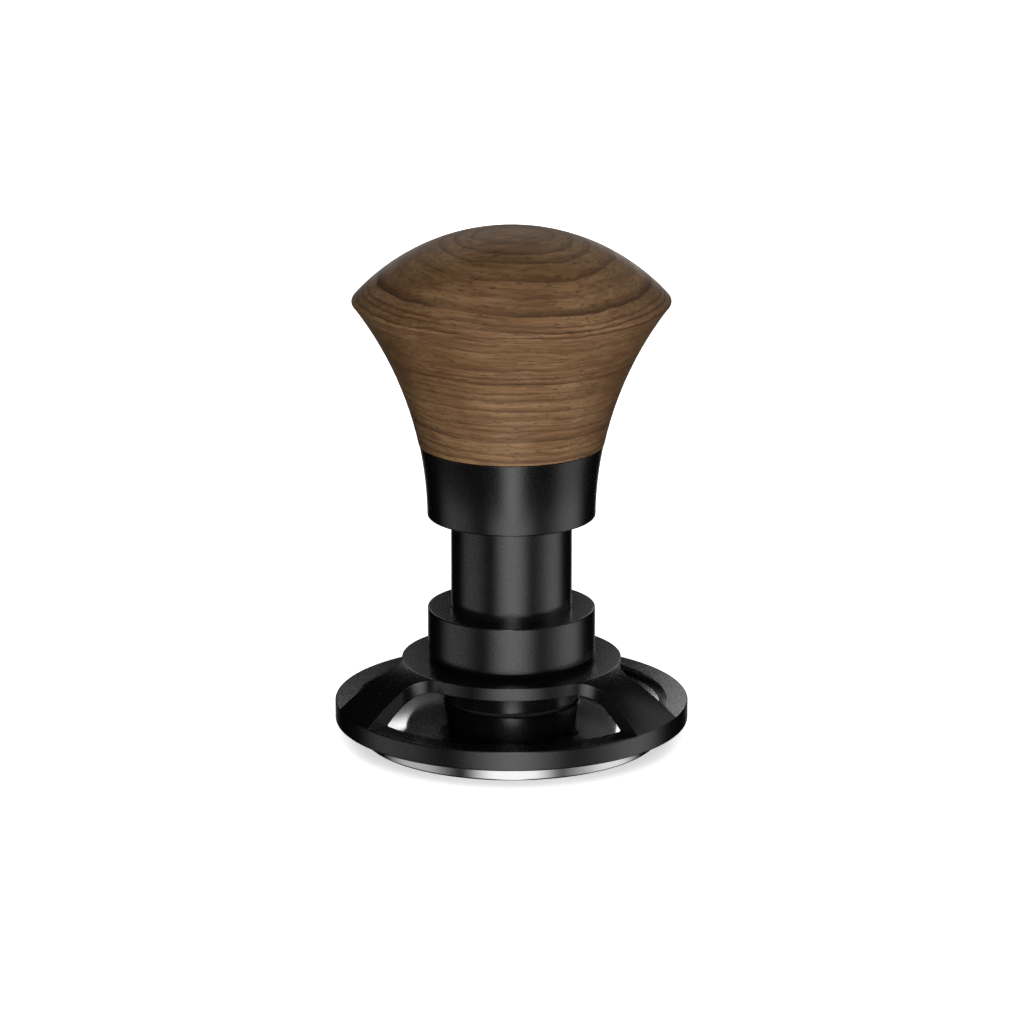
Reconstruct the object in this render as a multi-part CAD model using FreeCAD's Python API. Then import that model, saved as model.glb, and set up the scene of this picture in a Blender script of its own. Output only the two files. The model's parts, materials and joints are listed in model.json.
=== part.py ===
import FreeCAD, Part
import math
import os

from FreeCAD import Vector

# A calibrated, self-levelling espresso tamper for 58 mm baskets.
# Millimetres, +Z up, origin at the centre of the tamping face, which lies at z = 0.
# Everything is turned about the Z axis, apart from the windows of the levelling plate.

# Tamping base and the neck on it
BASE_RADIUS = 29.175
BASE_HEIGHT = 7.65
BASE_CROWN_RADIUS = 14.0
BASE_WALL_TOP = 6.45
BASE_EDGE = 0.35
SEAL_RADIUS = 12.6
SEAL_THICKNESS = 0.4
NECK_RADIUS = 13.31
NECK_TOP = 13.30

# Levelling plate: a flat rim, a raised hub, and spokes that arch down from hub to rim
RIM_RADIUS = 34.4
RIM_BORE_RADIUS = 30.15
RIM_BOTTOM = 3.65
RIM_TOP = 7.49
HUB_RADIUS = 21.32
HUB_BOTTOM = 13.32
HUB_TOP = 15.78
SPOKE_COUNT = 3
SPOKE_WIDTH_DEG = 22.7
FIRST_SPOKE_DEG = -154.3
SPOKE_TOP_SAG = 0.77
SPOKE_UNDER_SAG = 0.45
SPOKE_UNDER_END = 7.1
WINDOW_HUB_FILLET = 5.5
WINDOW_RIM_FILLET = 0.9

# Guide cup and guide tube, which stand on the hub
CUP_RADIUS = 16.26
CUP_FOOT_RADIUS = 15.0
CUP_CHAMFER_TOP = 17.0
CUP_TOP = 26.1
CUP_FLOOR = 18.3
TUBE_RADIUS = 11.7
TUBE_BORE_RADIUS = 10.2
TUBE_TOP = 59.4

# Flanged bush in the hub and the cup's floor
BUSH_RADIUS = 7.0
BUSH_FLANGE_RADIUS = 9.9
BUSH_FLANGE_THICKNESS = 1.0

# Central shaft
STUD_RADIUS = 4.0
STUD_BOTTOM = 2.6
STUD_HOLE_BOTTOM = 2.2
SHOULDER_HEIGHT = 10.3
SHAFT_RADIUS = 5.0
FLANGE_BOTTOM = 40.0
FLANGE_TOP = 43.0
FLANGE_RADIUS = 9.6
GROOVE_RADIUS = 8.4
GROOVE_HEIGHT = 1.4
ROD_RADIUS = 4.0
ROD_FLAT = 3.2
ROD_FLAT_BOTTOM = 62.0
ROD_TOP = 82.8

# Springs
SEAT_THICKNESS = 0.8
RETURN_SPRING_MEAN_RADIUS = 7.6
RETURN_SPRING_WIRE_RADIUS = 0.5
RETURN_SPRING_TURNS = 6.5
MAIN_SPRING_MEAN_RADIUS = 7.0
MAIN_SPRING_WIRE_RADIUS = 0.95
MAIN_SPRING_TURNS = 10.5

# Handle: one long flare runs over the collar and the knob, and a round dome closes it
COLLAR_BOTTOM = 44.5
COLLAR_TOP = 58.66
JOINT_RING_TOP = 58.86
JOINT_RING_RECESS = 0.27
FLARE_THROAT_RADIUS = 16.26
FLARE_THROAT_HEIGHT = 43.9
FLARE_ARC_RADIUS = 72.0
WOOD_PROUD = 0.1
LIP_HEIGHT = 86.5
DOME_APEX = 100.75
DOME_SPHERE_RADIUS = 41.0
DOME_EDGE_RADIUS = 30.75
DOME_EDGE_ROUNDING = 0.4
INSERT_RADIUS = 14.0
INSERT_BORE_RADIUS = 12.1
INSERT_BOTTOM = 54.5
BUSH_POCKET_RADIUS = 13.2
BUSH_POCKET_BOTTOM = 45.3
COLLAR_LIP_RADIUS = 12.05
PLUG_BOTTOM = 78.0
PLUG_TOP = 82.0
PLUG_BUSH_RADIUS = 6.0
POCKET_RADIUS = 9.0
POCKET_TOP = 95.2

# Small hardware
SCREW_CIRCLE_RADIUS = 13.35
SCREW_RADIUS = 1.25
SCREW_HEAD_RADIUS = 2.35
SCREW_HEAD_HEIGHT = 1.3
SCREW_TIP = 20.0
RETAINING_SCREW_RADIUS = 2.5
RETAINING_SCREW_TIP = 72.0
RETAINING_HEAD_RADIUS = 4.5
RETAINING_HEAD_HEIGHT = 2.8
RETAINING_WASHER_RADIUS = 7.5
RETAINING_WASHER_THICKNESS = 1.0

# Fits, as radial clearances: screwed or pressed together, and sliding on each other
FIXED = 0.02
RUNNING = 0.07
EDGE = 0.25

ORIGIN = Vector(0, 0, 0)
UP = Vector(0, 0, 1)


def turned(*corners):
    """Revolve a closed half section.

    A corner is (radius, height), reached by a straight line, or (radius, height, via),
    reached by an arc that passes through the point via.
    """
    edges = []
    for here, there in zip(corners, corners[1:] + corners[:1]):
        start = Vector(here[0], 0, here[1])
        end = Vector(there[0], 0, there[1])
        if len(there) == 3:
            via = Vector(there[2][0], 0, there[2][1])
            edges.append(Part.Arc(start, via, end).toShape())
        else:
            edges.append(Part.LineSegment(start, end).toShape())
    return Part.Face(Part.Wire(edges)).revolve(ORIGIN, UP, 360)


def ring(inner, outer, bottom, top):
    """Plain ring, or a disc where inner is zero."""
    return turned((inner, bottom), (outer, bottom), (outer, top), (inner, top))


def soften(solid, size, *circles):
    """Round the circular edges that have one of the given (radius, height) pairs."""
    chosen = []
    for edge in solid.Edges:
        if edge.Degenerated or not isinstance(edge.Curve, Part.Circle):
            continue
        for radius, height in circles:
            same_radius = abs(edge.Curve.Radius - radius) < 0.01
            same_height = abs(edge.Curve.Center.z - height) < 0.01
            if same_radius and same_height:
                chosen.append(edge)
    return solid.makeFillet(size, chosen)


def at_angle(shape, degrees):
    """Copy of a shape turned about the Z axis."""
    copy = shape.copy()
    copy.rotate(ORIGIN, UP, degrees)
    return copy


def sagging_arc(start, end, sag):
    """Point halfway between two section points, moved outwards by sag across their chord."""
    run = end[0] - start[0]
    rise = end[1] - start[1]
    chord = math.hypot(run, rise)
    middle = ((start[0] + end[0]) / 2, (start[1] + end[1]) / 2)
    return (middle[0] - sag * rise / chord, middle[1] + sag * run / chord)


def hexagonal_socket(across_flats, bottom, top):
    """Cutter for an Allen key socket on the Z axis."""
    corner_radius = across_flats / math.sqrt(3)
    corners = [
        Vector(corner_radius * math.cos(turn), corner_radius * math.sin(turn), bottom)
        for turn in (math.radians(60 * i) for i in range(7))
    ]
    return Part.Face(Part.makePolygon(corners)).extrude(Vector(0, 0, top - bottom))


def coil_spring(mean_radius, wire_radius, turns, bottom, top):
    """Round wire on a helix between two seats."""
    height = top - bottom - 2 * wire_radius
    helix = Part.makeLongHelix(height / turns, height, mean_radius)
    start = Vector(mean_radius, 0, 0)
    section = Part.Wire(Part.makeCircle(wire_radius, start, Vector(0, 1, 0)))
    spring = Part.Wire(helix).makePipeShell([section], True, True)
    spring.translate(Vector(0, 0, bottom + wire_radius))
    return spring


def flare_radius(height):
    """Outer radius of the handle's flare at a height."""
    rise = height - FLARE_THROAT_HEIGHT
    centre = FLARE_THROAT_RADIUS + FLARE_ARC_RADIUS
    return centre - math.sqrt(FLARE_ARC_RADIUS**2 - rise**2)


def dome_height(radius):
    """Height of the dome at a distance from the axis."""
    centre = DOME_APEX - DOME_SPHERE_RADIUS
    return centre + math.sqrt(DOME_SPHERE_RADIUS**2 - radius**2)


def flare_corner(bottom, top, proud=0.0):
    """Section corner at the flare's height top, reached by its arc from height bottom."""
    middle = (bottom + top) / 2
    via = (flare_radius(middle) + proud, middle)
    return (flare_radius(top) + proud, top, via)


# Pieces that stand on the coffee: base, neck, shaft and what is fixed to the shaft

def tamping_base():
    """Steel disc whose top slopes down from a flat crown, with a tapped hole for the stud."""
    disc = turned(
        (0, 0),
        (BASE_RADIUS, 0),
        (BASE_RADIUS, BASE_WALL_TOP),
        (BASE_CROWN_RADIUS, BASE_HEIGHT),
        (0, BASE_HEIGHT),
    )
    disc = soften(disc, BASE_EDGE, (BASE_RADIUS, 0), (BASE_RADIUS, BASE_WALL_TOP))
    return disc.cut(ring(0, STUD_RADIUS, STUD_HOLE_BOTTOM, BASE_HEIGHT + 1))


def base_seal():
    """Rubber ring that keeps coffee out of the base's thread."""
    return ring(STUD_RADIUS + FIXED, SEAL_RADIUS, BASE_HEIGHT, BASE_HEIGHT + SEAL_THICKNESS)


def base_neck():
    """Boss between base and hub, with a recess for the shaft's shoulder."""
    bottom = BASE_HEIGHT + SEAL_THICKNESS
    bore = STUD_RADIUS + FIXED
    recess = SHAFT_RADIUS + FIXED
    neck = turned(
        (bore, bottom),
        (NECK_RADIUS, bottom),
        (NECK_RADIUS, NECK_TOP),
        (recess, NECK_TOP),
        (recess, SHOULDER_HEIGHT),
        (bore, SHOULDER_HEIGHT),
    )
    return soften(neck, EDGE, (NECK_RADIUS, bottom), (NECK_RADIUS, NECK_TOP))


def rod_with_flat(radius, flat, bottom, top):
    """Upright rod with one flat, which keys it against turning."""
    rod = ring(0, radius, bottom, top)
    slab = Part.makeBox(radius, 2 * radius, top - bottom, Vector(flat, -radius, bottom))
    return rod.cut(slab)


def central_shaft():
    """Stud, lower shaft, grooved spring flange and keyed upper rod, turned from one bar."""
    groove_bottom = (FLANGE_BOTTOM + FLANGE_TOP - GROOVE_HEIGHT) / 2
    groove_top = groove_bottom + GROOVE_HEIGHT
    stud = STUD_RADIUS - FIXED
    shaft = turned(
        (0, STUD_BOTTOM),
        (stud, STUD_BOTTOM),
        (stud, SHOULDER_HEIGHT),
        (SHAFT_RADIUS, SHOULDER_HEIGHT),
        (SHAFT_RADIUS, FLANGE_BOTTOM),
        (FLANGE_RADIUS, FLANGE_BOTTOM),
        (FLANGE_RADIUS, groove_bottom),
        (GROOVE_RADIUS, groove_bottom),
        (GROOVE_RADIUS, groove_top),
        (FLANGE_RADIUS, groove_top),
        (FLANGE_RADIUS, FLANGE_TOP),
        (ROD_RADIUS, FLANGE_TOP),
        (ROD_RADIUS, ROD_FLAT_BOTTOM),
        (0, ROD_FLAT_BOTTOM),
    )
    shaft = shaft.fuse(rod_with_flat(ROD_RADIUS, ROD_FLAT, ROD_FLAT_BOTTOM, ROD_TOP))
    screw_hole = ring(0, RETAINING_SCREW_RADIUS, RETAINING_SCREW_TIP - 1, ROD_TOP + 1)
    return shaft.cut(screw_hole).removeSplitter()


def flange_ring():
    """Split plastic ring in the flange's groove, sliding in the guide tube."""
    groove_bottom = (FLANGE_BOTTOM + FLANGE_TOP - GROOVE_HEIGHT) / 2
    bottom = groove_bottom + FIXED
    top = groove_bottom + GROOVE_HEIGHT - FIXED
    band = ring(GROOVE_RADIUS + FIXED, TUBE_BORE_RADIUS - RUNNING, bottom, top)
    split_gap = 0.6
    gap = Part.makeBox(12, split_gap, 4, Vector(0, -split_gap / 2, bottom - 1))
    return band.cut(gap)


def lower_spring_seat():
    """Seat of the main spring, with a spigot that centres its end."""
    bore = ROD_RADIUS + FIXED
    spigot = MAIN_SPRING_MEAN_RADIUS - MAIN_SPRING_WIRE_RADIUS - 0.15
    spigot_height = 2.2
    seat_top = FLANGE_TOP + SEAT_THICKNESS
    return turned(
        (bore, FLANGE_TOP),
        (FLANGE_RADIUS, FLANGE_TOP),
        (FLANGE_RADIUS, seat_top),
        (spigot, seat_top),
        (spigot, seat_top + spigot_height),
        (bore, seat_top + spigot_height),
    )


def rebound_washer():
    """Rubber washer that the handle's plug springs back against."""
    return ring(ROD_RADIUS + FIXED, RETAINING_WASHER_RADIUS - 0.4, PLUG_TOP, ROD_TOP)


def retaining_washer():
    """Steel washer on the end of the rod."""
    top = ROD_TOP + RETAINING_WASHER_THICKNESS
    bore = RETAINING_SCREW_RADIUS + 0.15
    return ring(bore, RETAINING_WASHER_RADIUS, ROD_TOP, top)


def retaining_screw():
    """Socket screw that holds the handle on the shaft against the main spring."""
    head_bottom = ROD_TOP + RETAINING_WASHER_THICKNESS
    head_top = head_bottom + RETAINING_HEAD_HEIGHT
    shank = RETAINING_SCREW_RADIUS - FIXED
    screw = turned(
        (0, RETAINING_SCREW_TIP),
        (shank, RETAINING_SCREW_TIP),
        (shank, head_bottom),
        (RETAINING_HEAD_RADIUS, head_bottom),
        (RETAINING_HEAD_RADIUS, head_top),
        (0, head_top),
    )
    screw = soften(screw, EDGE, (RETAINING_HEAD_RADIUS, head_top))
    return screw.cut(hexagonal_socket(3.0, head_top - 1.6, head_top + 1))


def main_spring():
    """Calibrated compression spring between the shaft's flange and the handle's plug."""
    return coil_spring(
        MAIN_SPRING_MEAN_RADIUS,
        MAIN_SPRING_WIRE_RADIUS,
        MAIN_SPRING_TURNS,
        FLANGE_TOP + SEAT_THICKNESS,
        PLUG_BOTTOM - SEAT_THICKNESS,
    )


def return_spring():
    """Light compression spring that pushes the levelling plate back down."""
    return coil_spring(
        RETURN_SPRING_MEAN_RADIUS,
        RETURN_SPRING_WIRE_RADIUS,
        RETURN_SPRING_TURNS,
        return_seat_bottom() + SEAT_THICKNESS,
        FLANGE_BOTTOM,
    )


# Pieces that rest on the basket's rim: plate, cup, tube and their bush

def window_prism(outer_radius, bottom, top):
    """Upright prism that fills one window between two spokes, out to a radius."""
    half_window = math.radians(360 / SPOKE_COUNT - SPOKE_WIDTH_DEG) / 2

    def corner(radius, turn):
        return Vector(radius * math.cos(turn), radius * math.sin(turn), bottom)

    inner_arc = Part.Arc(
        corner(HUB_RADIUS, -half_window), corner(HUB_RADIUS, 0), corner(HUB_RADIUS, half_window)
    )
    outer_arc = Part.Arc(
        corner(outer_radius, half_window), corner(outer_radius, 0), corner(outer_radius, -half_window)
    )
    edges = [inner_arc.toShape()]
    edges.append(Part.makeLine(corner(HUB_RADIUS, half_window), corner(outer_radius, half_window)))
    edges.append(outer_arc.toShape())
    edges.append(Part.makeLine(corner(outer_radius, -half_window), corner(HUB_RADIUS, -half_window)))
    return Part.Face(Part.Wire(edges)).extrude(Vector(0, 0, top - bottom))


def upright_edges(solid, radius):
    """Vertical edges of a prism that stand at a distance from the axis."""
    found = []
    for edge in solid.Edges:
        ends = [vertex.Point for vertex in edge.Vertexes]
        is_upright = len(ends) == 2 and ends[0].distanceToPoint(
            Vector(ends[1].x, ends[1].y, ends[0].z)
        ) < 0.001
        if is_upright and abs(math.hypot(ends[0].x, ends[0].y) - radius) < 0.01:
            found.append(edge)
    return found


def plate_window():
    """Cutter for one window: through the plate inside the rim, and only above it outside."""
    through = window_prism(RIM_BORE_RADIUS, 0, HUB_TOP + 1)
    through = through.makeFillet(WINDOW_RIM_FILLET, upright_edges(through, RIM_BORE_RADIUS))
    above = window_prism(RIM_RADIUS + 1, RIM_TOP, HUB_TOP + 1)
    cutters = []
    for prism in (through, above):
        cutters.append(prism.makeFillet(WINDOW_HUB_FILLET, upright_edges(prism, HUB_RADIUS)))
    return cutters[0].fuse(cutters[1])


def levelling_plate():
    """Rim, hub and arched spokes, cut from one turned bell."""
    hub_edge = (HUB_RADIUS, HUB_TOP)
    rim_edge = (RIM_RADIUS, RIM_TOP)
    under_start = (RIM_BORE_RADIUS, SPOKE_UNDER_END)
    under_end = (HUB_RADIUS, HUB_BOTTOM)
    bush_bore = BUSH_RADIUS + FIXED
    bell = turned(
        (bush_bore, HUB_BOTTOM),
        (bush_bore, HUB_TOP),
        hub_edge,
        (*rim_edge, sagging_arc(hub_edge, rim_edge, SPOKE_TOP_SAG)),
        (RIM_RADIUS, RIM_BOTTOM),
        (RIM_BORE_RADIUS, RIM_BOTTOM),
        under_start,
        (*under_end, sagging_arc(under_end, under_start, SPOKE_UNDER_SAG)),
    )
    window = plate_window()
    half_pitch = 180 / SPOKE_COUNT
    for i in range(SPOKE_COUNT):
        spoke_angle = FIRST_SPOKE_DEG + i * 360 / SPOKE_COUNT
        bell = bell.cut(at_angle(window, spoke_angle + half_pitch))
        bell = bell.cut(screw_hole(spoke_angle, SCREW_RADIUS + 0.1, HUB_TOP + 1))
        bell = bell.cut(screw_countersink(spoke_angle))
    return soften(bell.removeSplitter(), EDGE, rim_edge, (RIM_RADIUS, RIM_BOTTOM))


def on_screw_circle(shape, degrees):
    """Move a shape from the Z axis to a place on the plate's screw circle."""
    moved = shape.copy()
    moved.translate(Vector(SCREW_CIRCLE_RADIUS, 0, 0))
    moved.rotate(ORIGIN, UP, degrees)
    return moved


def screw_hole(degrees, radius, top):
    """Cutter for a plate screw's shank."""
    return on_screw_circle(ring(0, radius, HUB_BOTTOM - 1, top), degrees)


def screw_countersink(degrees):
    """Cutter for a plate screw's head."""
    head = SCREW_HEAD_RADIUS + 0.05
    depth = HUB_BOTTOM + SCREW_HEAD_HEIGHT
    cone = turned(
        (0, HUB_BOTTOM - 1),
        (head, HUB_BOTTOM - 1),
        (head, HUB_BOTTOM + 0.1),
        (SCREW_RADIUS + 0.05, depth + 0.1),
        (0, depth + 0.1),
    )
    return on_screw_circle(cone, degrees)


def plate_screws():
    """Countersunk screws that hold the plate to the cup, one under each spoke's root."""
    head_bottom = HUB_BOTTOM + 0.1
    shank = SCREW_RADIUS - FIXED
    screw = turned(
        (0, head_bottom),
        (SCREW_HEAD_RADIUS, head_bottom),
        (shank, HUB_BOTTOM + SCREW_HEAD_HEIGHT),
        (shank, SCREW_TIP),
        (0, SCREW_TIP),
    )
    screw = screw.cut(hexagonal_socket(1.5, head_bottom - 1, head_bottom + 0.9))
    spoke_angles = [FIRST_SPOKE_DEG + i * 360 / SPOKE_COUNT for i in range(SPOKE_COUNT)]
    return Part.makeCompound([on_screw_circle(screw, angle) for angle in spoke_angles])


def guide_cup():
    """Cup that carries the guide tube, with a chamfered foot on the hub."""
    bush_bore = BUSH_RADIUS + FIXED
    tube_seat = TUBE_RADIUS + FIXED
    cup = turned(
        (bush_bore, HUB_TOP),
        (CUP_FOOT_RADIUS, HUB_TOP),
        (CUP_RADIUS, CUP_CHAMFER_TOP),
        (CUP_RADIUS, CUP_TOP),
        (tube_seat, CUP_TOP),
        (tube_seat, CUP_FLOOR),
        (bush_bore, CUP_FLOOR),
    )
    cup = soften(cup, EDGE, (CUP_RADIUS, CUP_TOP))
    for i in range(SPOKE_COUNT):
        spoke_angle = FIRST_SPOKE_DEG + i * 360 / SPOKE_COUNT
        cup = cup.cut(screw_hole(spoke_angle, SCREW_RADIUS, SCREW_TIP + 0.5))
    return cup


def guide_tube():
    """Tube that the handle slides over and the shaft's flange slides in."""
    tube = ring(TUBE_BORE_RADIUS, TUBE_RADIUS, CUP_FLOOR, TUBE_TOP)
    return soften(tube, EDGE, (TUBE_RADIUS, TUBE_TOP), (TUBE_BORE_RADIUS, TUBE_TOP))


def shaft_bush():
    """Flanged plastic bush in the hub and the cup's floor, sliding on the shaft."""
    bore = SHAFT_RADIUS + RUNNING
    bottom = HUB_BOTTOM + 0.2
    flange_top = CUP_FLOOR + BUSH_FLANGE_THICKNESS
    return turned(
        (bore, bottom),
        (BUSH_RADIUS, bottom),
        (BUSH_RADIUS, CUP_FLOOR),
        (BUSH_FLANGE_RADIUS, CUP_FLOOR),
        (BUSH_FLANGE_RADIUS, flange_top),
        (bore, flange_top),
    )


def return_seat_bottom():
    """Height where the return spring's thrust washer lies on the bush."""
    return CUP_FLOOR + BUSH_FLANGE_THICKNESS


def thrust_washer():
    """Washer under the return spring, on which the plate assembly turns freely."""
    bottom = return_seat_bottom()
    return ring(SHAFT_RADIUS + RUNNING, BUSH_FLANGE_RADIUS, bottom, bottom + SEAT_THICKNESS)


# Pieces that move with the hand: collar, knob, insert, plug and their bushes

def handle_collar():
    """Flared metal collar under the knob."""
    collar = turned(
        (COLLAR_LIP_RADIUS, COLLAR_BOTTOM),
        (flare_radius(COLLAR_BOTTOM), COLLAR_BOTTOM),
        flare_corner(COLLAR_BOTTOM, COLLAR_TOP),
        (INSERT_RADIUS + FIXED, COLLAR_TOP),
        (INSERT_RADIUS + FIXED, INSERT_BOTTOM),
        (BUSH_POCKET_RADIUS, INSERT_BOTTOM),
        (BUSH_POCKET_RADIUS, BUSH_POCKET_BOTTOM),
        (COLLAR_LIP_RADIUS, BUSH_POCKET_BOTTOM),
    )
    collar = soften(collar, EDGE, (flare_radius(COLLAR_BOTTOM), COLLAR_BOTTOM))
    return soften(collar, 0.12, (flare_radius(COLLAR_TOP), COLLAR_TOP))


def collar_bush():
    """Plastic bush in the collar, sliding on the guide tube."""
    return ring(
        TUBE_RADIUS + RUNNING, BUSH_POCKET_RADIUS - FIXED, BUSH_POCKET_BOTTOM, INSERT_BOTTOM
    )


def joint_ring():
    """Thin fibre ring that shows as a dark line between collar and wood."""
    outer = flare_radius(COLLAR_TOP) - JOINT_RING_RECESS
    return ring(INSERT_RADIUS + 2 * FIXED, outer, COLLAR_TOP, JOINT_RING_TOP)


def handle_insert():
    """Threaded sleeve that joins collar, knob and plug."""
    return ring(INSERT_BORE_RADIUS, INSERT_RADIUS, INSERT_BOTTOM, PLUG_TOP)


def wooden_knob():
    """Turned knob: flare, thin lip and dome, bored from below for the insert and the screw."""
    bore = INSERT_RADIUS + FIXED
    middle_radius = DOME_EDGE_RADIUS / 2
    knob = turned(
        (bore, JOINT_RING_TOP),
        (flare_radius(JOINT_RING_TOP) + WOOD_PROUD, JOINT_RING_TOP),
        flare_corner(JOINT_RING_TOP, LIP_HEIGHT, WOOD_PROUD),
        (DOME_EDGE_RADIUS, dome_height(DOME_EDGE_RADIUS)),
        (0, DOME_APEX, (middle_radius, dome_height(middle_radius))),
        (0, POCKET_TOP),
        (POCKET_RADIUS, POCKET_TOP),
        (POCKET_RADIUS, PLUG_TOP),
        (bore, PLUG_TOP),
    )
    return soften(knob, DOME_EDGE_ROUNDING, (DOME_EDGE_RADIUS, dome_height(DOME_EDGE_RADIUS)))


def spring_plug():
    """Plug screwed into the insert, which the main spring pushes up."""
    return ring(PLUG_BUSH_RADIUS + FIXED, INSERT_BORE_RADIUS - FIXED, PLUG_BOTTOM, PLUG_TOP)


def plug_bush():
    """Bronze bush keyed on the rod's flat; its flange is the main spring's upper seat."""
    bottom = PLUG_BOTTOM - SEAT_THICKNESS
    bush = turned(
        (0, bottom),
        (FLANGE_RADIUS - 0.2, bottom),
        (FLANGE_RADIUS - 0.2, PLUG_BOTTOM),
        (PLUG_BUSH_RADIUS, PLUG_BOTTOM),
        (PLUG_BUSH_RADIUS, PLUG_TOP),
        (0, PLUG_TOP),
    )
    keyed_bore = rod_with_flat(
        ROD_RADIUS + RUNNING, ROD_FLAT + RUNNING, bottom - 1, PLUG_TOP + 1
    )
    return bush.cut(keyed_bore)


PARTS = {
    "tamping_base": tamping_base,
    "base_seal": base_seal,
    "base_neck": base_neck,
    "central_shaft": central_shaft,
    "flange_ring": flange_ring,
    "lower_spring_seat": lower_spring_seat,
    "rebound_washer": rebound_washer,
    "retaining_washer": retaining_washer,
    "retaining_screw": retaining_screw,
    "main_spring": main_spring,
    "return_spring": return_spring,
    "levelling_plate": levelling_plate,
    "plate_screws": plate_screws,
    "guide_cup": guide_cup,
    "guide_tube": guide_tube,
    "shaft_bush": shaft_bush,
    "thrust_washer": thrust_washer,
    "handle_collar": handle_collar,
    "collar_bush": collar_bush,
    "joint_ring": joint_ring,
    "handle_insert": handle_insert,
    "wooden_knob": wooden_knob,
    "spring_plug": spring_plug,
    "plug_bush": plug_bush,
}

os.makedirs("parts", exist_ok=True)
for name, make in PARTS.items():
    shape = make()
    shape.exportStep(f"parts/{name}.step")
    print(f"{name}: valid {shape.isValid()}, solids {len(shape.Solids)}, {shape.Volume:.1f} mm3")
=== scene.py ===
import json
import math

import bpy
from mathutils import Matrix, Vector


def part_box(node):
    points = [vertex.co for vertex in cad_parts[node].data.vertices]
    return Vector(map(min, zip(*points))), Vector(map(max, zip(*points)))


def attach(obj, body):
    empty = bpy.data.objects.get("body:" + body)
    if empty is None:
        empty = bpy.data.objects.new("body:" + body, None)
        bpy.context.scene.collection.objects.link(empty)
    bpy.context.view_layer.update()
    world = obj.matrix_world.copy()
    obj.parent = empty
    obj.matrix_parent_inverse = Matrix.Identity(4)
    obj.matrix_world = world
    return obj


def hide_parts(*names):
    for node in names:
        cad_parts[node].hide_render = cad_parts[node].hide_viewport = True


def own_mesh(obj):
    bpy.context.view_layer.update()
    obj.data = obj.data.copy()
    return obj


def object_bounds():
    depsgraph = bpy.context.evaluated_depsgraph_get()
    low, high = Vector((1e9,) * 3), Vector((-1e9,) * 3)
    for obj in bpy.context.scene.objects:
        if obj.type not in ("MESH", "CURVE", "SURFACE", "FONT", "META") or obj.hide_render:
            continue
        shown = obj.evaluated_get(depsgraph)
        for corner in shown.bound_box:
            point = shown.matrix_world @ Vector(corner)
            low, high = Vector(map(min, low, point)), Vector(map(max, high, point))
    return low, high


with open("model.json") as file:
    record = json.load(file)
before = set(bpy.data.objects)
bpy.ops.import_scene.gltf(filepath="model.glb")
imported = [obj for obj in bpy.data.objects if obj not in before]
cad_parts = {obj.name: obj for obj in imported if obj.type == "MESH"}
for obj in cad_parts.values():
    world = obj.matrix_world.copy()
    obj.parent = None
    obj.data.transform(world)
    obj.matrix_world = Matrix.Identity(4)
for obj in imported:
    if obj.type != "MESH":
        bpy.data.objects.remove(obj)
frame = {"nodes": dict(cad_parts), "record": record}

cad_low, cad_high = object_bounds()

MM = 0.001
CENTRE = Vector((0, 0, (cad_low.z + cad_high.z) / 2))


# ---------------------------------------------------------------- camera

def make_camera():
    """Camera in front of the tamper, looking slightly down on it."""
    elevation = math.radians(15.593)
    distance = 0.9305
    aim = Vector((0.0001, 0, 0.04490))
    data = bpy.data.cameras.new("camera")
    data.sensor_width = 36
    data.lens = 169.3
    data.clip_start = 0.05
    data.clip_end = 20
    data.dof.use_dof = False
    camera = bpy.data.objects.new("camera", data)
    back = Vector((0, -math.cos(elevation), math.sin(elevation)))
    camera.location = aim + back * distance
    camera.rotation_euler = (math.pi / 2 - elevation, 0, 0)
    bpy.context.scene.collection.objects.link(camera)
    bpy.context.scene.camera = camera


# ---------------------------------------------------------------- node helpers

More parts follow.
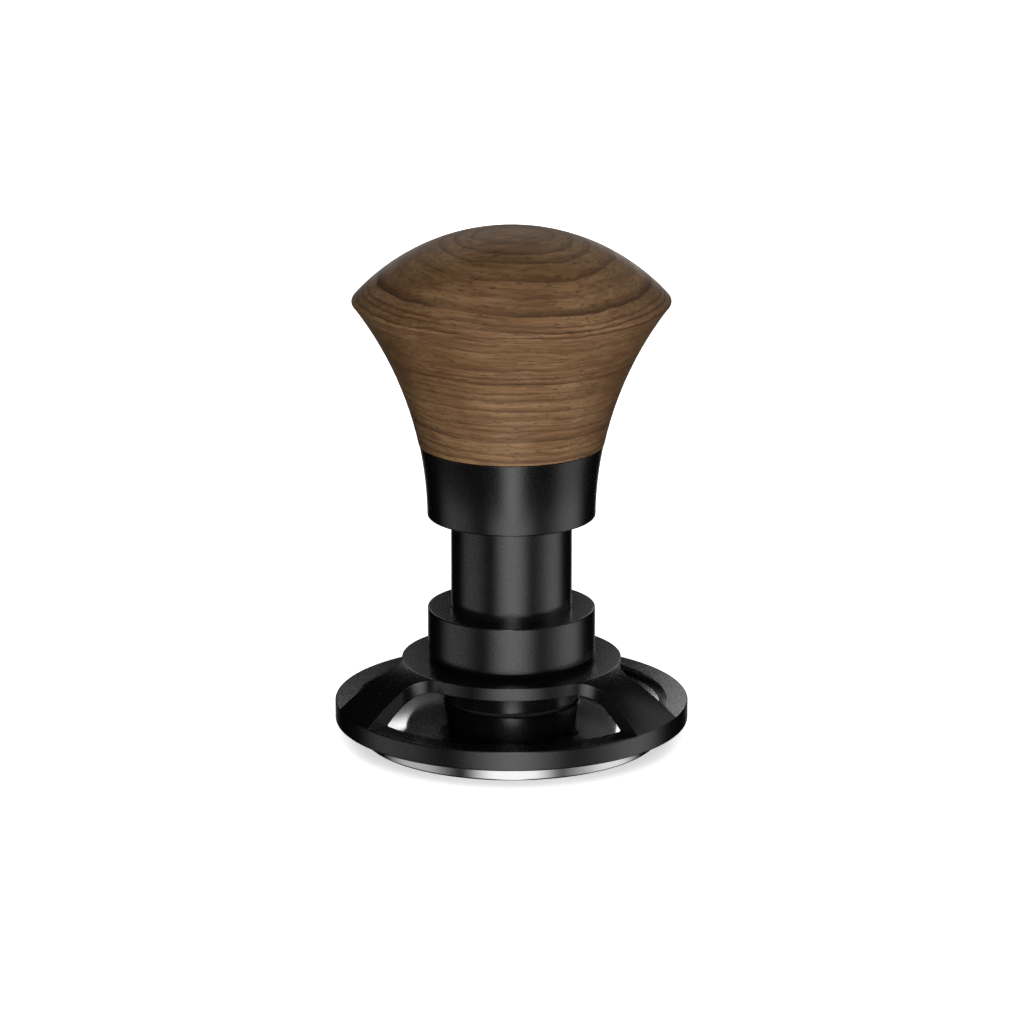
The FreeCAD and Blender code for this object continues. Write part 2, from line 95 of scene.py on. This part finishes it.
class Graph:
    """A node tree, with short calls for the nodes that the materials share."""

    def __init__(self, tree):
        self.tree = tree
        tree.nodes.clear()

    def node(self, kind, **settings):
        made = self.tree.nodes.new(kind)
        for name, value in settings.items():
            setattr(made, name, value)
        return made

    def link(self, source, target):
        self.tree.links.new(source, target)

    def put(self, socket, value):
        """Set a socket, from another socket or from a plain value."""
        if isinstance(value, bpy.types.NodeSocket):
            self.link(value, socket)
        else:
            socket.default_value = value

    def maths(self, operation, *values):
        made = self.node("ShaderNodeMath", operation=operation)
        for socket, value in zip(made.inputs, values):
            self.put(socket, value)
        return made.outputs[0]

    def mix(self, share, first, second):
        made = self.node("ShaderNodeMix", data_type="RGBA")
        self.put(made.inputs[0], share)
        self.put(made.inputs[6], first)
        self.put(made.inputs[7], second)
        return made.outputs[2]

    def span(self, value, low, high, out_low=0.0, out_high=1.0, smooth=False):
        made = self.node("ShaderNodeMapRange")
        made.interpolation_type = "SMOOTHSTEP" if smooth else "LINEAR"
        for socket, number in zip(made.inputs, (value, low, high, out_low, out_high)):
            self.put(socket, number)
        return made.outputs[0]

    def noise(self, vector, scale, detail, roughness=0.5):
        made = self.node("ShaderNodeTexNoise")
        self.put(made.inputs["Vector"], vector)
        made.inputs["Scale"].default_value = scale
        made.inputs["Detail"].default_value = detail
        made.inputs["Roughness"].default_value = roughness
        return made.outputs["Fac"]

    def coordinates(self):
        return self.node("ShaderNodeTexCoord").outputs["Object"]

    def from_axis(self, place):
        """Distance of a place from the Z axis, and its height."""
        axes = self.node("ShaderNodeSeparateXYZ")
        self.link(place, axes.inputs[0])
        flat = self.node("ShaderNodeCombineXYZ")
        self.link(axes.outputs[0], flat.inputs[0])
        self.link(axes.outputs[1], flat.inputs[1])
        length = self.node("ShaderNodeVectorMath", operation="LENGTH")
        self.link(flat.outputs[0], length.inputs[0])
        return length.outputs["Value"], axes.outputs[2]

    def stretched(self, vector, scale):
        """A place with each axis scaled, to draw out a noise along it."""
        made = self.node("ShaderNodeMapping")
        self.put(made.inputs["Vector"], vector)
        made.inputs["Scale"].default_value = scale
        return made.outputs[0]

    def ramp(self, value, *stops):
        made = self.node("ShaderNodeValToRGB")
        elements = made.color_ramp.elements
        elements.remove(elements[1])
        elements[0].position = stops[0][0]
        elements[0].color = (*stops[0][1], 1)
        for place, colour in stops[1:]:
            elements.new(place).color = (*colour, 1)
        self.put(made.inputs[0], value)
        return made.outputs[0]

    def bump(self, height, distance, strength=1.0, normal=None):
        made = self.node("ShaderNodeBump")
        made.inputs["Distance"].default_value = distance
        made.inputs["Strength"].default_value = strength
        self.put(made.inputs["Height"], height)
        if normal is not None:
            self.put(made.inputs["Normal"], normal)
        return made.outputs[0]

    def added(self, first, second):
        """Two shaders added together, to the output."""
        both = self.node("ShaderNodeAddShader")
        self.link(first.outputs[0], both.inputs[0])
        self.link(second.outputs[0], both.inputs[1])
        output = self.node("ShaderNodeOutputMaterial")
        self.link(both.outputs[0], output.inputs["Surface"])

    def surface(self, **inputs):
        """Principled shader to the output, with its sockets by name."""
        shader = self.node("ShaderNodeBsdfPrincipled")
        for name, value in inputs.items():
            self.put(shader.inputs[name.replace("_", " ")], value)
        output = self.node("ShaderNodeOutputMaterial")
        self.link(shader.outputs[0], output.inputs["Surface"])
        return shader


def new_material(name):
    material = bpy.data.materials.new(name)
    material.use_nodes = True
    return material, Graph(material.node_tree)


# ---------------------------------------------------------------- materials

def black_anodised():
    """Aluminium with broken edges, bead-blasted to a fine grain and anodised black."""
    darker = (0.0035, 0.0035, 0.0036, 1)
    lighter = (0.0050, 0.0050, 0.0052, 1)
    edge_radius = 0.22 * MM
    grain_depth = 0.014 * MM
    material, g = new_material("black_anodised")
    place = g.coordinates()
    grain = g.noise(place, 3300, detail=1, roughness=0.6)
    cloud = g.noise(place, 260, detail=2)
    colour = g.mix(g.span(cloud, 0.35, 0.65), darker, lighter)
    roughness = g.span(grain, 0.3, 0.7, 0.20, 0.28)
    worn_edge = g.node("ShaderNodeBevel", samples=6)
    worn_edge.inputs["Radius"].default_value = edge_radius
    normal = g.bump(grain, grain_depth, 0.8, worn_edge.outputs[0])
    shader = g.surface(Base_Color=colour, Roughness=roughness, Normal=normal)
    shader.inputs["IOR"].default_value = 1.75
    return material


def polished_steel():
    """Stainless steel, mirror bright on its wall and a little duller on its sloping top."""
    material, g = new_material("polished_steel")
    place = g.coordinates()
    radius, height = g.from_axis(place)
    facing = g.node("ShaderNodeSeparateXYZ")
    g.link(g.node("ShaderNodeNewGeometry").outputs["True Normal"], facing.inputs[0])
    on_top = g.span(facing.outputs[2], 0.85, 0.95)
    rings = g.node("ShaderNodeCombineXYZ")
    g.link(g.maths("MULTIPLY", radius, on_top), rings.inputs[0])
    g.link(height, rings.inputs[2])
    turning = g.noise(rings.outputs[0], 9000, detail=1)
    haze = g.noise(place, 120, detail=3)
    roughness = g.maths("ADD", g.span(haze, 0.3, 0.7, 0.06, 0.09), g.maths("MULTIPLY", on_top, 0.04))
    normal = g.bump(turning, 0.0003 * MM, 0.5)
    g.surface(Base_Color=(0.60, 0.60, 0.61, 1), Metallic=1.0, Roughness=roughness, Normal=normal)
    return material


def growth_rings(g, height):
    """Darkness of the growth lines at a height: sharp below each line and fading above it."""
    spacing = 1.55 * MM
    wander_per_metre = 170
    wander_in_rings = 2.8
    seed = 0.37
    line_width = 0.06
    fade_width = 0.60
    wander = g.node("ShaderNodeTexNoise", noise_dimensions="1D")
    g.put(wander.inputs["W"], height)
    wander.inputs["Scale"].default_value = wander_per_metre
    wander.inputs["Detail"].default_value = 1
    drift = g.maths("MULTIPLY", wander.outputs["Fac"], wander_in_rings)
    count = g.maths("ADD", g.maths("DIVIDE", height, spacing), drift)
    above_line = g.maths("FRACT", count)
    year = g.maths("FLOOR", count)
    vigour = g.node("ShaderNodeTexWhiteNoise", noise_dimensions="1D")
    g.put(vigour.inputs["W"], g.maths("ADD", year, seed))
    darkness = g.span(vigour.outputs["Value"], 0.0, 1.0, 0.40, 1.0)
    foot = g.span(above_line, 0.0, line_width, smooth=True)
    tail = g.span(above_line, line_width, fade_width, 1.0, 0.0)
    return g.maths("MULTIPLY", darkness, g.maths("MULTIPLY", foot, tail))


def walnut():
    """Oiled walnut: growth layers lying almost flat, fibres along X, and short dark pores."""
    dark_wood = (0.160, 0.080, 0.036)
    middle_wood = (0.275, 0.150, 0.070)
    pale_wood = (0.400, 0.235, 0.118)
    line_colour = (0.045, 0.020, 0.010, 1)
    fibre_colour = (0.075, 0.035, 0.016, 1)
    pore_colour = (0.030, 0.014, 0.007, 1)
    material, g = new_material("walnut")
    place = g.coordinates()
    axes = g.node("ShaderNodeSeparateXYZ")
    g.link(place, axes.inputs[0])
    # Height within the growth layers, which lean a little and wave slowly
    forward = g.maths("MULTIPLY", axes.outputs[1], -0.04)
    lean = g.maths("ADD", forward, g.maths("MULTIPLY", axes.outputs[0], 0.02))
    broad = g.noise(place, 38, detail=1)
    small = g.noise(g.stretched(place, (0.5, 0.5, 1)), 240, detail=4, roughness=0.6)
    slow_wave = g.maths("MULTIPLY", g.maths("SUBTRACT", broad, 0.5), 2.2 * MM)
    ripple = g.maths("MULTIPLY", g.maths("SUBTRACT", small, 0.5), 1.1 * MM)
    wave = g.maths("ADD", slow_wave, ripple)
    height = g.maths("ADD", g.maths("ADD", axes.outputs[2], lean), wave)
    layered = g.node("ShaderNodeCombineXYZ")
    g.link(axes.outputs[0], layered.inputs[0])
    g.link(axes.outputs[1], layered.inputs[1])
    g.link(height, layered.inputs[2])
    layered = layered.outputs[0]
    rings = growth_rings(g, height)
    # Streaks follow the layers; fibres and pores are finer and lie along X
    streak = g.noise(g.stretched(layered, (0.05, 0.10, 1)), 1150, detail=4, roughness=0.65)
    fibre = g.noise(g.stretched(layered, (0.045, 0.15, 1)), 3600, detail=3, roughness=0.7)
    pore_field = g.noise(g.stretched(layered, (0.14, 0.4, 1)), 3600, detail=1)
    pore = g.span(pore_field, 0.64, 0.70)
    fading = g.noise(g.stretched(layered, (0.35, 0.35, 1)), 130, detail=2)
    patch = g.noise(place, 60, detail=2)
    tone = g.maths("ADD", g.maths("MULTIPLY", patch, 0.45), g.maths("MULTIPLY", streak, 0.55))
    base = g.ramp(tone, (0.32, dark_wood), (0.48, middle_wood), (0.62, pale_wood))
    narrowed = g.maths("POWER", rings, 1.25)
    line_strength = g.maths("MULTIPLY", narrowed, g.span(fading, 0.28, 0.50, 0.45, 1.0))
    ringed = g.mix(g.maths("MULTIPLY", line_strength, 0.95), base, line_colour)
    fibred = g.mix(g.span(fibre, 0.34, 0.58, 0.55, 0.0), ringed, fibre_colour)
    colour = g.mix(g.maths("MULTIPLY", pore, 0.6), fibred, pore_colour)
    relief = g.maths("SUBTRACT", g.maths("MULTIPLY", fibre, 0.5), pore)
    normal = g.bump(relief, 0.025 * MM, 0.45)
    roughness = g.span(streak, 0.3, 0.7, 0.42, 0.52)
    shader = g.surface(Base_Color=colour, Roughness=roughness, Normal=normal)
    shader.inputs["IOR"].default_value = 1.42
    return material


def turned_metal(name, colour, roughness):
    """Bare metal with fine lathe lines about the Z axis."""
    material, g = new_material(name)
    place = g.coordinates()
    radius, height = g.from_axis(place)
    rings = g.node("ShaderNodeCombineXYZ")
    g.link(radius, rings.inputs[0])
    g.link(height, rings.inputs[2])
    lines = g.noise(rings.outputs[0], 2500, detail=2)
    stain = g.noise(place, 180, detail=3)
    dull = tuple(c * 0.8 for c in colour)
    tint = g.mix(g.span(stain, 0.35, 0.65), (*dull, 1), (*colour, 1))
    finish = g.span(lines, 0.3, 0.7, roughness * 0.8, roughness * 1.2)
    normal = g.bump(lines, 0.004 * MM, 0.5)
    g.surface(Base_Color=tint, Metallic=1.0, Roughness=finish, Normal=normal)
    return material


def moulded(name, colour, roughness):
    """Plain plastic, fibre or rubber with a faint mottle."""
    material, g = new_material(name)
    place = g.coordinates()
    mottle = g.noise(place, 1500, detail=3)
    cloud = g.noise(place, 140, detail=2)
    dull = tuple(c * 0.85 for c in colour)
    tint = g.mix(g.span(cloud, 0.35, 0.65), (*dull, 1), (*colour, 1))
    finish = g.span(mottle, 0.3, 0.7, roughness * 0.9, roughness * 1.1)
    normal = g.bump(mottle, 0.006 * MM, 0.4)
    g.surface(Base_Color=tint, Roughness=finish, Normal=normal)
    return material


def make_materials():
    """One material for each of the record's slots."""
    return {
        "black_anodised": black_anodised(),
        "polished_steel": polished_steel(),
        "walnut": walnut(),
        "turned_steel": turned_metal("turned_steel", (0.56, 0.56, 0.58), 0.28),
        "black_oxide_steel": turned_metal("black_oxide_steel", (0.03, 0.03, 0.033), 0.38),
        "spring_steel": turned_metal("spring_steel", (0.45, 0.45, 0.48), 0.25),
        "plain_aluminium": turned_metal("plain_aluminium", (0.72, 0.72, 0.74), 0.3),
        "bronze": turned_metal("bronze", (0.62, 0.40, 0.17), 0.3),
        "white_acetal": moulded("white_acetal", (0.80, 0.79, 0.75), 0.4),
        "black_fibre": moulded("black_fibre", (0.012, 0.012, 0.012), 0.8),
        "black_rubber": moulded("black_rubber", (0.02, 0.02, 0.02), 0.7),
    }


def paint(materials):
    """Give every CAD node the material of its slot in the record."""
    for row in frame["record"]["subparts"]:
        mesh = frame["nodes"][row["node"]].data
        mesh.materials.clear()
        mesh.materials.append(materials[row["material_slot"]])


# ---------------------------------------------------------------- springs

def spring_height(turn, turns, bottom, top, wire):
    """Height of the wire's centre: the end turns lie closed and the others share the rest."""
    closed = 1.0
    lift = 2 * wire
    active = (top - bottom - 2 * wire - 2 * closed * lift) / (turns - 2 * closed)
    if turn <= closed:
        return bottom + wire + turn * lift
    if turn >= turns - closed:
        return top - wire - (turns - turn) * lift
    return bottom + wire + closed * lift + (turn - closed) * active


def make_spring(name, material, mean_radius, wire, turns):
    """Coil with closed ends, ground flat on the seats. It fills the height of the CAD spring."""
    low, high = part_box(name)
    steps = 56
    sides = 14
    total = int(turns * steps)
    ground = 0.45 * wire
    vertices = []
    for i in range(total + 1):
        turn = i / steps
        angle = 2 * math.pi * turn
        height = spring_height(turn, turns, low.z - ground, high.z + ground, wire)
        out = Vector((math.cos(angle), math.sin(angle), 0))
        for j in range(sides):
            around = 2 * math.pi * j / sides
            point = out * (mean_radius + wire * math.cos(around))
            point.z = min(max(height + wire * math.sin(around), low.z), high.z)
            vertices.append(point)
    faces = []
    for i in range(total):
        for j in range(sides):
            k = (j + 1) % sides
            faces.append((i * sides + j, i * sides + k, (i + 1) * sides + k, (i + 1) * sides + j))
    faces.append(tuple(range(sides))[::-1])
    faces.append(tuple(total * sides + j for j in range(sides)))
    mesh = bpy.data.meshes.new(name + "_coil")
    mesh.from_pydata([tuple(v) for v in vertices], [], faces)
    mesh.materials.append(material)
    mesh.shade_smooth()
    spring = bpy.data.objects.new(name + "_coil", mesh)
    bpy.context.scene.collection.objects.link(spring)
    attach(spring, "base")
    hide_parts(name)
    return spring


def make_springs(material):
    """The main spring and the return spring, each with a mesh of its own."""
    for name, joint, mean_radius, wire, turns in (
        ("main_spring", "handle_press", 7.0 * MM, 0.95 * MM, 10.5),
        ("return_spring", "leveller_slide", 7.6 * MM, 0.5 * MM, 6.5),
    ):
        spring = make_spring(name, material, mean_radius, wire, turns)
        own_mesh(spring)


# ---------------------------------------------------------------- stage and light

def glow_through(g, strength):
    """Emission that adds to whatever lies behind it."""
    emission = g.node("ShaderNodeEmission")
    g.link(strength, emission.inputs["Strength"])
    g.added(emission, g.node("ShaderNodeBsdfTransparent"))


def glowing_panel(name, azimuth, width, low, high, radiance, edge):
    """Upright curved softbox round the tamper, fading towards its sides and its foot.

    Azimuth 0 is the camera's side and positive is to the right. Heights are elevations.
    Panels add up where they overlap, and those outside the front only make reflections.
    """
    distance = 1.3
    foot = 0.02
    front_half_width = 45
    columns = 16
    vertices = []
    faces = []
    for i in range(columns + 1):
        turn = math.radians(azimuth + width * (i / columns - 0.5))
        for elevation in (low, high):
            height = distance * math.tan(math.radians(elevation)) + CENTRE.z
            vertices.append((distance * math.sin(turn), -distance * math.cos(turn), height))
    for i in range(columns):
        faces.append((2 * i, 2 * i + 1, 2 * i + 3, 2 * i + 2))
    mesh = bpy.data.meshes.new(name)
    mesh.from_pydata(vertices, [], faces)
    layer = mesh.uv_layers.new(name="UVMap")
    for loop in mesh.loops:
        layer.data[loop.index].uv = (loop.vertex_index // 2 / columns, loop.vertex_index % 2)
    material, g = new_material(name)
    axes = g.node("ShaderNodeSeparateXYZ")
    g.link(g.node("ShaderNodeTexCoord").outputs["UV"], axes.inputs[0])
    offset = g.maths("ABSOLUTE", g.maths("SUBTRACT", axes.outputs[0], 0.5))
    across = g.span(offset, 0.5 * (1 - edge), 0.5, 1.0, 0.0, smooth=True)
    fade = g.maths("MULTIPLY", across, g.span(axes.outputs[1], 0.0, foot, smooth=True))
    glow_through(g, g.maths("MULTIPLY", fade, radiance))
    mesh.materials.append(material)
    panel = bpy.data.objects.new(name, mesh)
    panel.visible_camera = False
    panel.visible_shadow = False
    panel.visible_diffuse = abs(azimuth) < front_half_width
    bpy.context.scene.collection.objects.link(panel)


def make_floor():
    """Plain pale floor, lit by the lamps, whose glow is dimmer in a soft disc round the tamper's foot: a
    painted contact shadow on top of the lamps' own shadows. It throws no light on the tamper.
    """
    size = 6.0
    painted_shadow_inner = 0.0295
    painted_shadow_outer = 0.0375
    painted_shadow_glow = 0.54
    mesh = bpy.data.meshes.new("floor")
    mesh.from_pydata(
        [(-size, -size, 0), (size, -size, 0), (size, size, 0), (-size, size, 0)], [], [(0, 1, 2, 3)]
    )
    material, g = new_material("floor")
    diffuse = g.node("ShaderNodeBsdfDiffuse")
    diffuse.inputs["Color"].default_value = (0.95, 0.95, 0.95, 1)
    radius = g.node("ShaderNodeVectorMath", operation="LENGTH")
    g.link(g.coordinates(), radius.inputs[0])
    glow = g.node("ShaderNodeEmission")
    # Painted shadow: the glow drops to about half inside a soft disc round the foot, and is full white
    # outside it
    glow_around_painted_shadow = g.span(radius.outputs["Value"], painted_shadow_inner, painted_shadow_outer, painted_shadow_glow, 1.0, smooth=True)
    g.link(glow_around_painted_shadow, glow.inputs["Strength"])
    g.added(diffuse, glow)
    mesh.materials.append(material)
    floor = bpy.data.objects.new("floor", mesh)
    floor.visible_glossy = False
    floor.visible_diffuse = False
    floor.visible_transmission = False
    floor.visible_shadow = False
    bpy.context.scene.collection.objects.link(floor)


def make_world():
    """White to the camera, and almost black for everything else."""
    world = bpy.data.worlds.new("world")
    world.use_nodes = True
    bpy.context.scene.world = world
    faint = 0.0016
    g = Graph(world.node_tree)
    seen = g.node("ShaderNodeLightPath").outputs["Is Camera Ray"]
    background = g.node("ShaderNodeBackground")
    background.inputs["Color"].default_value = (1, 1, 1, 1)
    g.link(g.span(seen, 0, 1, faint, 1.0), background.inputs["Strength"])
    output = g.node("ShaderNodeOutputWorld")
    g.link(background.outputs[0], output.inputs["Surface"])


def soft_fill(name, place, energy):
    """Soft lamp that lifts the wood and leaves no highlight."""
    lamp_data = bpy.data.lights.new(name, "AREA")
    lamp_data.size = 0.4
    lamp_data.energy = energy
    lamp = bpy.data.objects.new(name, lamp_data)
    lamp.location = place
    lamp.rotation_euler = (CENTRE - lamp.location).to_track_quat("-Z", "Y").to_euler()
    lamp.visible_glossy = False
    bpy.context.scene.collection.objects.link(lamp)


def back_card(name, x, y, z, radiance):
    """Small soft-edged card behind the tamper, which only a few of its faces mirror.

    It spans x and z and stands at y, in metres.
    """
    mesh = bpy.data.meshes.new(name)
    left, right = x
    foot, head = z
    corners = [
        (left, y, foot),
        (right, y, foot),
        (right, y, head),
        (left, y, head),
    ]
    mesh.from_pydata(corners, [], [(0, 1, 2, 3)])
    material, g = new_material(name)
    axes = g.node("ShaderNodeSeparateXYZ")
    g.link(g.coordinates(), axes.inputs[0])
    fade = None
    for value, low, high in ((axes.outputs[0], left, right), (axes.outputs[2], foot, head)):
        offset = g.maths("ABSOLUTE", g.maths("SUBTRACT", value, (low + high) / 2))
        share = g.span(offset, 0.25 * (high - low), 0.5 * (high - low), 1.0, 0.0, smooth=True)
        fade = share if fade is None else g.maths("MULTIPLY", fade, share)
    glow_through(g, g.maths("MULTIPLY", fade, radiance))
    mesh.materials.append(material)
    card = bpy.data.objects.new(name, mesh)
    card.visible_camera = False
    card.visible_shadow = False
    card.visible_diffuse = False
    bpy.context.scene.collection.objects.link(card)


def light_stage():
    """Softboxes round the tamper, cards behind it that its tops mirror, and lamps for the wood."""
    glowing_panel("front_upper", azimuth=1, width=41, low=-9, high=76, radiance=2.5, edge=1.0)
    glowing_panel("front_band", azimuth=1, width=80, low=-22, high=-9, radiance=1.5, edge=0.7)
    glowing_panel("front_lower", azimuth=1, width=44, low=-60, high=-22, radiance=1.9, edge=1.0)
    glowing_panel("left_strip", azimuth=-86, width=58, low=-50, high=55, radiance=0.045, edge=0.8)
    glowing_panel("left_band", azimuth=-78, width=80, low=-22, high=-15, radiance=0.62, edge=0.8)
    glowing_panel("right_strip", azimuth=86, width=62, low=-50, high=55, radiance=0.52, edge=0.8)
    glowing_panel("right_band", azimuth=76, width=92, low=-22, high=-15, radiance=0.66, edge=0.8)
    glowing_panel("dim_band", azimuth=10, width=130, low=-22, high=-15, radiance=0.05, edge=0.3)
    glowing_panel("back_band", azimuth=180, width=50, low=-55, high=-8, radiance=0.5, edge=0.8)
    glowing_panel("right_back", azimuth=124, width=44, low=12, high=40, radiance=0.30, edge=0.6)
    back_card("left_card", x=(-0.090, -0.004), y=0.160, z=(0.044, 0.110), radiance=0.08)
    back_card("right_card", x=(0.004, 0.080), y=0.165, z=(0.070, 0.110), radiance=0.25)
    back_card("rim_card", x=(0.029, 0.085), y=0.170, z=(0.0585, 0.0700), radiance=3.3)
    back_card("left_corner_card", x=(-0.075, -0.022), y=0.160, z=(0.072, 0.115), radiance=2.0)
    back_card("right_corner_card", x=(0.022, 0.075), y=0.160, z=(0.072, 0.115), radiance=2.0)
    back_card("crown_card", x=(-0.080, 0.080), y=0.180, z=(0.125, 0.230), radiance=0.7)
    soft_fill("front_fill", place=(0.12, -1.25, 0.16), energy=8)
    soft_fill("back_fill_left", place=(-0.45, 1.15, 0.40), energy=6)
    soft_fill("back_fill_right", place=(0.45, 1.15, 0.40), energy=6)


make_camera()
materials = make_materials()
paint(materials)
make_springs(materials["spring_steel"])
make_floor()
make_world()
light_stage()
bpy.context.scene.view_settings.view_transform = "Standard"
